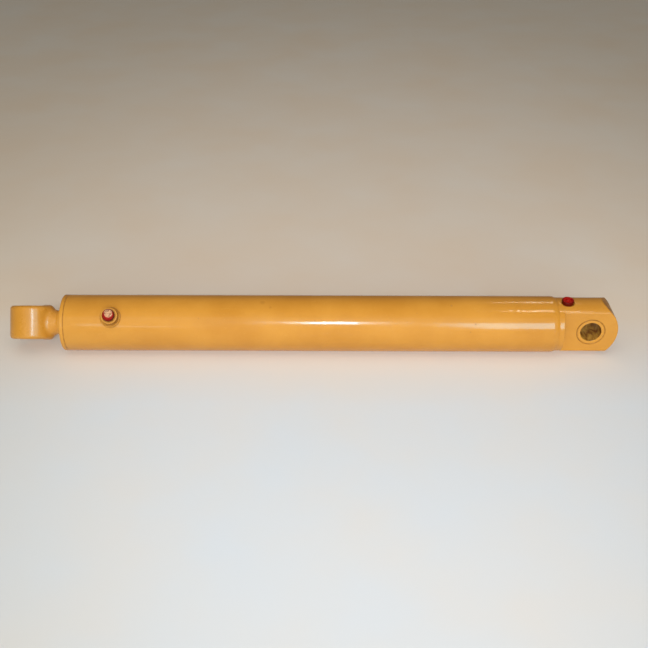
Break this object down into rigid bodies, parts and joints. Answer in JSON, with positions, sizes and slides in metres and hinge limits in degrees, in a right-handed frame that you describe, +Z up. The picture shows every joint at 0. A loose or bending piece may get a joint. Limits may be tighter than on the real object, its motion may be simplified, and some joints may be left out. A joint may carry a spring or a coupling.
{
  "type": "hydraulic cylinder",
  "caption": "Double-acting hydraulic cylinder with a painted welded barrel, screwed gland, chromed piston rod, a pin eye at each end and plugged oil ports.",
  "frame": {"origin": "centre of the base pin bore", "axes": "+X along the barrel from the rod towards the rounded base end, so the rod moves out along -X; +Y along the base pin; +Z up, square to the flats' pin; the shown side is -Y"},
  "size_m": [1.5033, 0.1511, 0.145],
  "materials": {
    "yellow_paint": "gloss construction yellow enamel with light scuffs",
    "hard_chrome": "ground and polished hard chrome",
    "machined_steel": "turned and oiled",
    "red_plug": "soft red polyethylene",
    "black_nitrile": "smooth moulded rubber",
    "green_urethane": "moulded polyurethane",
    "brown_bearing_ring": "machined fabric-filled resin"
  },
  "bodies": {
    "barrel": {"barrel_tube": "yellow_paint", "base_cap": "yellow_paint", "base_cap_weld": "yellow_paint", "base_bushing": "yellow_paint", "head_port_boss": "yellow_paint", "head_port_weld": "yellow_paint", "head_gland": "yellow_paint", "gland_o_ring": "black_nitrile", "gland_backup_ring": "green_urethane", "rod_wiper": "black_nitrile", "rod_seal": "green_urethane", "rod_buffer_seal": "brown_bearing_ring", "gland_wear_ring_outer": "brown_bearing_ring", "gland_wear_ring_inner": "brown_bearing_ring"},
    "piston_rings": {"piston_seal": "green_urethane", "piston_seal_energizer": "black_nitrile", "piston_wear_ring_front": "brown_bearing_ring", "piston_wear_ring_rear": "brown_bearing_ring"},
    "rod": {"piston_rod": "hard_chrome", "piston": "machined_steel", "piston_nut": "machined_steel", "piston_o_ring": "black_nitrile", "rod_eye": "yellow_paint", "rod_eye_weld": "yellow_paint", "rod_eye_bushing": "yellow_paint"},
    "head_plug": {"head_port_plug": "red_plug"},
    "base_plug": {"base_port_plug": "red_plug"}
  },
  "joints": [
    {"name": "rod_slide", "type": "slide", "parent": "barrel", "child": "piston_rings", "axis": [-1, 0, 0], "range_m": [0, 0.9652]},
    {"name": "rod_spin", "type": "hinge", "parent": "piston_rings", "child": "rod", "pos_m": [0, 0, 0], "axis": [-1, 0, 0], "continuous": true},
    {"name": "head_plug_pull", "type": "slide", "parent": "barrel", "child": "head_plug", "axis": [0, -0.7431, 0.6691], "range_m": [0, 0.04]},
    {"name": "base_plug_pull", "type": "slide", "parent": "barrel", "child": "base_plug", "axis": [0, -0.1045, 0.9945], "range_m": [0, 0.04]}
  ]
}
